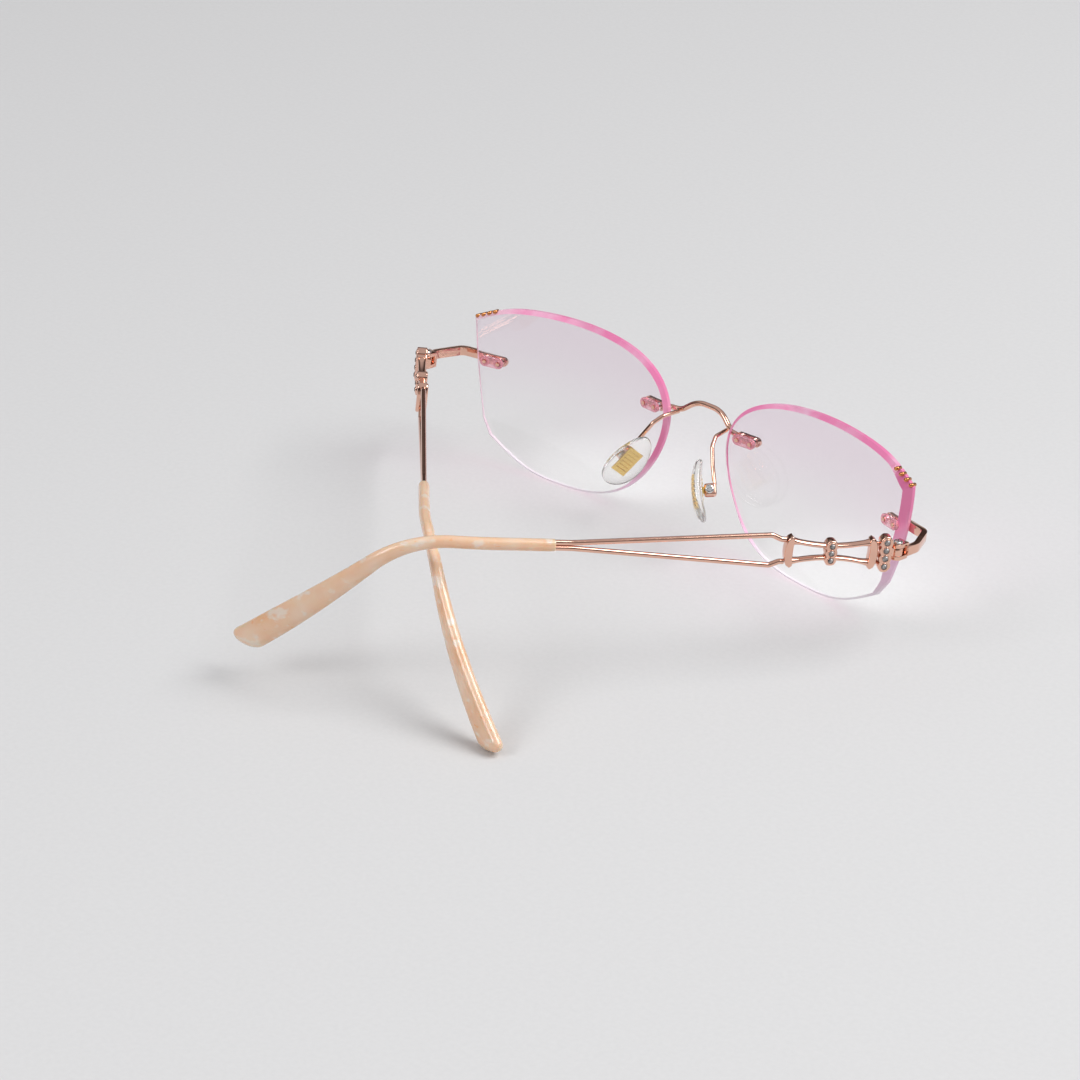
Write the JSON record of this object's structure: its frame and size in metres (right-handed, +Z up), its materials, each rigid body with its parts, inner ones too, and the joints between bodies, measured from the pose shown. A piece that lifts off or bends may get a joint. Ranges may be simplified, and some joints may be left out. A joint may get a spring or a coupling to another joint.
{
  "type": "rimless eyeglasses",
  "caption": "Rimless eyeglasses with bevelled tinted lenses, rocking nose pads and folding temples with bamboo-shaped ornaments and curved acetate tips.",
  "frame": {"origin": "midway between the two lens centres, on the front's plane of symmetry", "axes": "+Z up, the lenses face -Y, +X is the wearer's left; the temples rest partly folded in"},
  "size_m": [0.1404, 0.1201, 0.0387],
  "materials": {
    "lens": "clear, faint mauve gradient tint, polished pink bevel",
    "gold_bead": "polished",
    "clear_sleeve": "clear",
    "crystal": "faceted grey crystal",
    "acetate_tip": "polished, peach and pearl marbled",
    "silicone_pad": "clear silicone",
    "yellow_gold": "satin gold",
    "steel_screw": "bright",
    "rose_gold": "polished rose gold"
  },
  "bodies": {
    "front": {"bridge": "rose_gold", "endpiece_left": "rose_gold", "endpiece_right": "rose_gold", "hinge_screw_left": "steel_screw", "hinge_screw_right": "steel_screw", "lens_beads_left": "gold_bead", "lens_beads_right": "gold_bead", "lens_left": "lens", "lens_right": "lens", "pad_arm_left": "rose_gold", "pad_arm_right": "rose_gold", "pad_screw_left": "steel_screw", "pad_screw_right": "steel_screw", "sleeves_nasal_left": "clear_sleeve", "sleeves_nasal_right": "clear_sleeve", "sleeves_temporal_left": "clear_sleeve", "sleeves_temporal_right": "clear_sleeve"},
    "temple_left": {"centre_crystals_left": "crystal", "collar_crystals_left": "crystal", "link_pins_left": "rose_gold", "ornament_collar_centre_left": "rose_gold", "ornament_collar_front_left": "rose_gold", "ornament_collar_rear_left": "rose_gold", "ornament_rods_left": "rose_gold", "temple_hinge_left": "rose_gold", "temple_tip_left": "acetate_tip", "temple_wire_lower_left": "rose_gold", "temple_wire_upper_left": "rose_gold"},
    "temple_right": {"centre_crystals_right": "crystal", "collar_crystals_right": "crystal", "link_pins_right": "rose_gold", "ornament_collar_centre_right": "rose_gold", "ornament_collar_front_right": "rose_gold", "ornament_collar_rear_right": "rose_gold", "ornament_rods_right": "rose_gold", "temple_hinge_right": "rose_gold", "temple_tip_right": "acetate_tip", "temple_wire_lower_right": "rose_gold", "temple_wire_upper_right": "rose_gold"},
    "nose_pad_left": {"nose_pad_left": "silicone_pad", "pad_insert_left": "yellow_gold"},
    "nose_pad_right": {"nose_pad_right": "silicone_pad", "pad_insert_right": "yellow_gold"}
  },
  "joints": [
    {"name": "temple_fold_left", "type": "hinge", "parent": "front", "child": "temple_left", "pos_m": [0.0684, 0.0177, 0], "axis": [-0.0314, -0.1149, 0.9929], "range_deg": [-45, 35]},
    {"name": "temple_fold_right", "type": "hinge", "parent": "front", "child": "temple_right", "pos_m": [-0.0684, 0.0177, 0], "axis": [0.0314, 0.1149, -0.9929], "range_deg": [-37.3, 16]},
    {"name": "pad_rock_left", "type": "hinge", "parent": "front", "child": "nose_pad_left", "pos_m": [0.0121, 0.011, -0.0016], "axis": [-0.5097, -0.5634, -0.6503], "range_deg": [-10, 10]},
    {"name": "pad_rock_right", "type": "hinge", "parent": "front", "child": "nose_pad_right", "pos_m": [-0.0121, 0.011, -0.0016], "axis": [0.5097, -0.5634, -0.6503], "range_deg": [-10, 10]}
  ]
}
